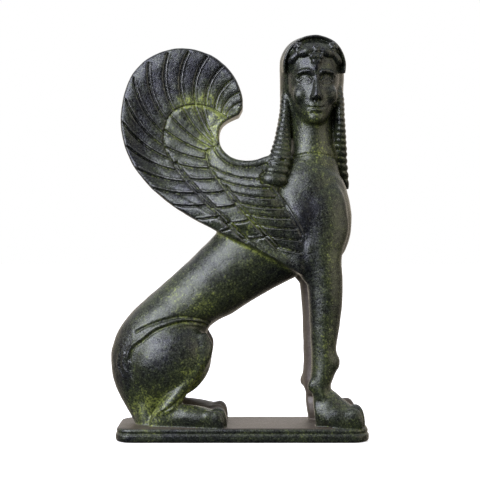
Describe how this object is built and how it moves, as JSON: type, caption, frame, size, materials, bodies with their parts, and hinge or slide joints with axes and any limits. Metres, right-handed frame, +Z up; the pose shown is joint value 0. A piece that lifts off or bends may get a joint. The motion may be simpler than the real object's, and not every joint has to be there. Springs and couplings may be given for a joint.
{
  "type": "sphinx statuette",
  "caption": "Seated winged sphinx on a thin rounded plinth, its wing curling forward and its head turned to one side; a small cast bronze ornament that stands on a shelf.",
  "frame": {"origin": "middle of the whole statuette's bounding box in plan, on the underside of the plinth", "axes": "+X the way the body faces, +Y to the sphinx's left, away from the face, +Z up"},
  "size_m": [0.1278, 0.04, 0.2001],
  "materials": {
    "patinated_bronze": "cast bronze with a waxed green-black patina and yellow-green in the hollows"
  },
  "bodies": {
    "root": {"sphinx_with_plinth": "patinated_bronze"}
  },
  "joints": []
}
